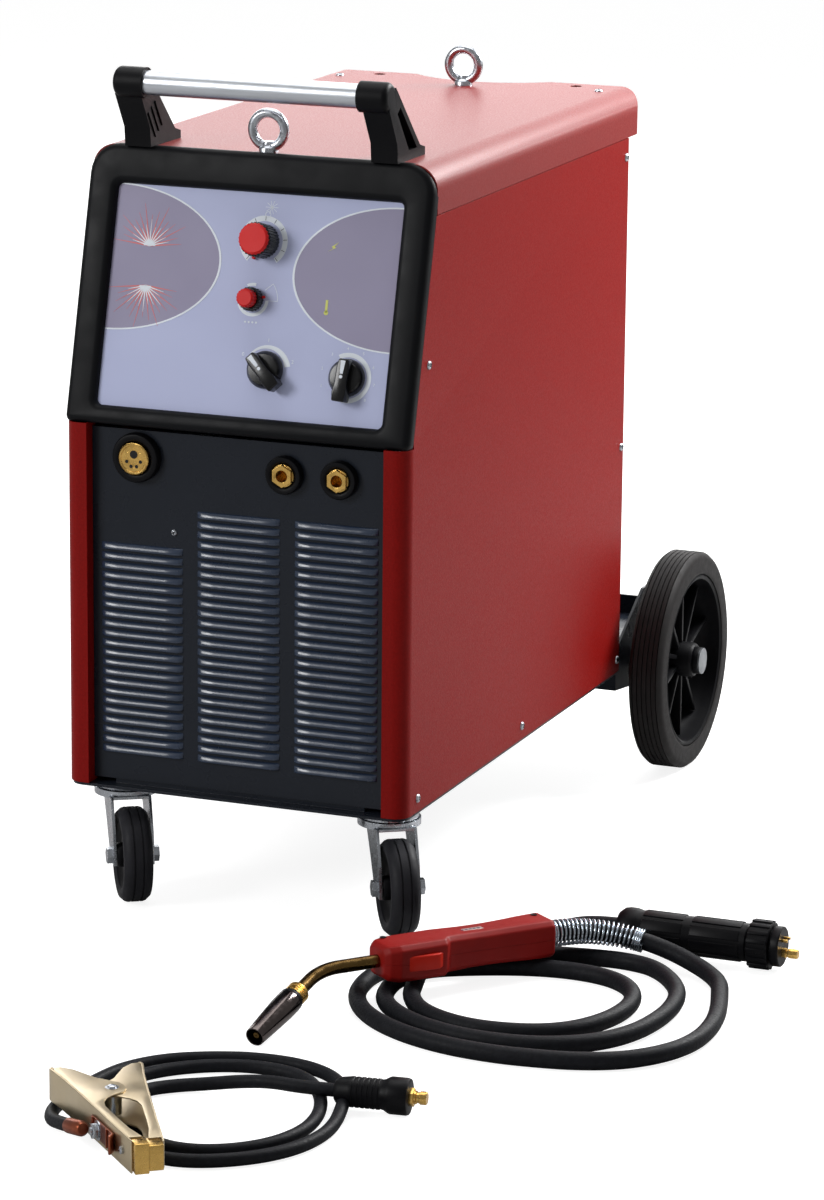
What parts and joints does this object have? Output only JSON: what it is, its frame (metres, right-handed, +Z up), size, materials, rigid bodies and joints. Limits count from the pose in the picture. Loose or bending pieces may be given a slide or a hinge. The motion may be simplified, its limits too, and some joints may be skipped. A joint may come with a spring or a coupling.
{
  "type": "welding power source on cart",
  "caption": "Wheeled wire-feed welder case with sloped control panel, louvred front, carry bar, bottle tray, casters, torch lead and earth clamp lead.",
  "frame": {"origin": "on the floor, under the middle of the case's front face", "axes": "+X to the machine's right seen from the front, +Y to the back, +Z up"},
  "size_m": [0.852, 1.649, 0.8733],
  "materials": {
    "side_paint": "fine textured satin",
    "cover_paint": "fine textured satin",
    "panel_paint": "satin",
    "bezel_plastic": "satin",
    "plate_film": "matt print",
    "zinc": "zinc plated",
    "steel": "plain",
    "tube_aluminium": "brushed",
    "black_plastic": "moulded",
    "knob_plastic": "satin",
    "brass": "turned",
    "tyre_rubber": "moulded",
    "cable_rubber": "satin",
    "copper_winding": "enamelled",
    "torch_plastic": "satin",
    "trigger_plastic": "satin",
    "chrome": "polished",
    "clamp_zinc": "yellow zinc plated"
  },
  "bodies": {
    "cart": {"base_tray": "panel_paint", "bottle_tray": "panel_paint", "side_panel_right": "side_paint", "side_panel_left": "side_paint", "top_cover": "cover_paint", "front_panel": "panel_paint", "front_bezel": "bezel_plastic", "control_plate": "plate_film", "rear_panel": "panel_paint", "centre_bulkhead": "zinc", "handle_grip": "tube_aluminium", "handle_brackets": "black_plastic", "lifting_eyes": "zinc", "panel_screws": "zinc", "socket_rings": "black_plastic", "socket_contacts": "brass", "transformer": "copper_winding", "rectifier_stack": "tube_aluminium", "control_board": "black_plastic", "fan_frame": "black_plastic", "rear_inlets": "black_plastic", "wire_feeder": "zinc", "rear_axle": "steel", "caster_plates": "zinc", "torch_shell_upper": "torch_plastic", "torch_shell_lower": "torch_plastic", "torch_neck": "brass", "torch_nozzle": "chrome", "torch_spring": "steel", "torch_cable_lead": "cable_rubber", "torch_cable_coil": "cable_rubber", "euro_plug_body": "black_plastic", "clamp_fixed_jaw": "clamp_zinc", "clamp_spring": "steel", "earth_cable_lead": "cable_rubber", "earth_cable_coil": "cable_rubber", "earth_plug": "black_plastic"},
    "rear_wheel_left": {"rear_hub_left": "black_plastic", "rear_tyre_left": "tyre_rubber"},
    "rear_wheel_right": {"rear_hub_right": "black_plastic", "rear_tyre_right": "tyre_rubber"},
    "caster_left": {"caster_fork_left": "zinc"},
    "caster_right": {"caster_fork_right": "zinc"},
    "roller_left": {"caster_wheel_left": "tyre_rubber"},
    "roller_right": {"caster_wheel_right": "tyre_rubber"},
    "wire_speed": {"wire_speed_knob": "knob_plastic"},
    "spot_timer": {"spot_timer_knob": "knob_plastic"},
    "main_switch": {"main_switch_knob": "knob_plastic"},
    "voltage_switch": {"voltage_knob": "knob_plastic"},
    "door": {"side_door": "side_paint"},
    "latch": {"door_latch": "zinc"},
    "spool": {"wire_spool": "black_plastic", "spool_wire": "copper_winding"},
    "feed_roll": {"drive_roll": "steel"},
    "feed_arm": {"pressure_arm": "black_plastic"},
    "upper_roll": {"pressure_roll": "steel"},
    "fan": {"fan_blades": "black_plastic"},
    "trigger": {"torch_trigger": "trigger_plastic"},
    "plug_nut": {"euro_plug_nut": "black_plastic"},
    "clamp_jaw": {"clamp_moving_jaw": "clamp_zinc"}
  },
  "joints": [
    {"name": "rear_wheel_left_spin", "type": "hinge", "parent": "cart", "child": "rear_wheel_left", "pos_m": [-0.231, 0.7526, 0.125], "axis": [1, 0, 0], "continuous": true},
    {"name": "rear_wheel_right_spin", "type": "hinge", "parent": "cart", "child": "rear_wheel_right", "pos_m": [0.231, 0.7526, 0.125], "axis": [1, 0, 0], "continuous": true},
    {"name": "caster_left_swivel", "type": "hinge", "parent": "cart", "child": "caster_left", "pos_m": [-0.1495, 0.06, 0.1], "axis": [0, 0, 1], "continuous": true},
    {"name": "caster_right_swivel", "type": "hinge", "parent": "cart", "child": "caster_right", "pos_m": [0.1495, 0.06, 0.1], "axis": [0, 0, 1], "continuous": true},
    {"name": "roller_left_spin", "type": "hinge", "parent": "caster_left", "child": "roller_left", "pos_m": [-0.1246, 0.02252, 0.05], "axis": [0.8329, 0.5534, 0], "continuous": true},
    {"name": "roller_right_spin", "type": "hinge", "parent": "caster_right", "child": "roller_right", "pos_m": [0.1744, 0.02252, 0.05], "axis": [0.8329, 0.5534, 0], "continuous": true},
    {"name": "wire_speed_turn", "type": "hinge", "parent": "cart", "child": "wire_speed", "pos_m": [0.0085, 0.05807, 0.70255], "axis": [0, -0.9678, 0.2516], "range_deg": [-135, 135]},
    {"name": "spot_timer_turn", "type": "hinge", "parent": "cart", "child": "spot_timer", "pos_m": [0.003, 0.0431, 0.64497], "axis": [0, -0.9678, 0.2516], "range_deg": [-135, 135]},
    {"name": "main_switch_turn", "type": "hinge", "parent": "cart", "child": "main_switch", "pos_m": [0.025, 0.02548, 0.57722], "axis": [0, -0.9678, 0.2516], "range_deg": [0, 90]},
    {"name": "voltage_turn", "type": "hinge", "parent": "cart", "child": "voltage_switch", "pos_m": [0.1145, 0.02523, 0.57625], "axis": [0, -0.9678, 0.2516], "range_deg": [-150, 150]},
    {"name": "door_hinge", "type": "hinge", "parent": "cart", "child": "door", "pos_m": [-0.194, 0.6245, 0.5175], "axis": [0, 0, -1], "range_deg": [0, 110]},
    {"name": "latch_turn", "type": "hinge", "parent": "door", "child": "latch", "pos_m": [-0.19, 0.1735, 0.5175], "axis": [-1, 0, 0], "range_deg": [0, 90]},
    {"name": "spool_spin", "type": "hinge", "parent": "cart", "child": "spool", "pos_m": [-0.112, 0.4, 0.505], "axis": [1, 0, 0], "continuous": true},
    {"name": "feed_roll_spin", "type": "hinge", "parent": "cart", "child": "feed_roll", "pos_m": [-0.112, 0.12, 0.4591], "axis": [1, 0, 0], "continuous": true},
    {"name": "feed_arm_swing", "type": "hinge", "parent": "cart", "child": "feed_arm", "pos_m": [-0.12, 0.165, 0.51], "axis": [-1, 0, 0], "range_deg": [0, 40]},
    {"name": "upper_roll_spin", "type": "hinge", "parent": "feed_arm", "child": "upper_roll", "pos_m": [-0.112, 0.12, 0.4934], "axis": [1, 0, 0], "continuous": true},
    {"name": "fan_spin", "type": "hinge", "parent": "cart", "child": "fan", "pos_m": [0.078, 0.63, 0.3], "axis": [0, 1, 0], "continuous": true},
    {"name": "trigger_press", "type": "hinge", "parent": "cart", "child": "trigger", "pos_m": [0.26477, -0.17673, 0.04062], "axis": [0.0094, 0.0121, 0.9999], "range_deg": [0, 5], "stiffness_Nm_per_rad": 0.4, "springref_deg": -5.73},
    {"name": "plug_nut_spin", "type": "hinge", "parent": "cart", "child": "plug_nut", "pos_m": [0.554, 0.061, 0.02535], "axis": [1, 0, 0], "continuous": true},
    {"name": "clamp_jaw_open", "type": "hinge", "parent": "cart", "child": "clamp_jaw", "pos_m": [0.158, -0.634, 0.0298], "axis": [0, 0, 1], "range_deg": [0, 30], "stiffness_Nm_per_rad": 1.5, "springref_deg": -11.46}
  ],
  "couplings": [
    {"joint": "upper_roll_spin", "follows": "feed_roll_spin", "ratio": -1.2333}
  ]
}
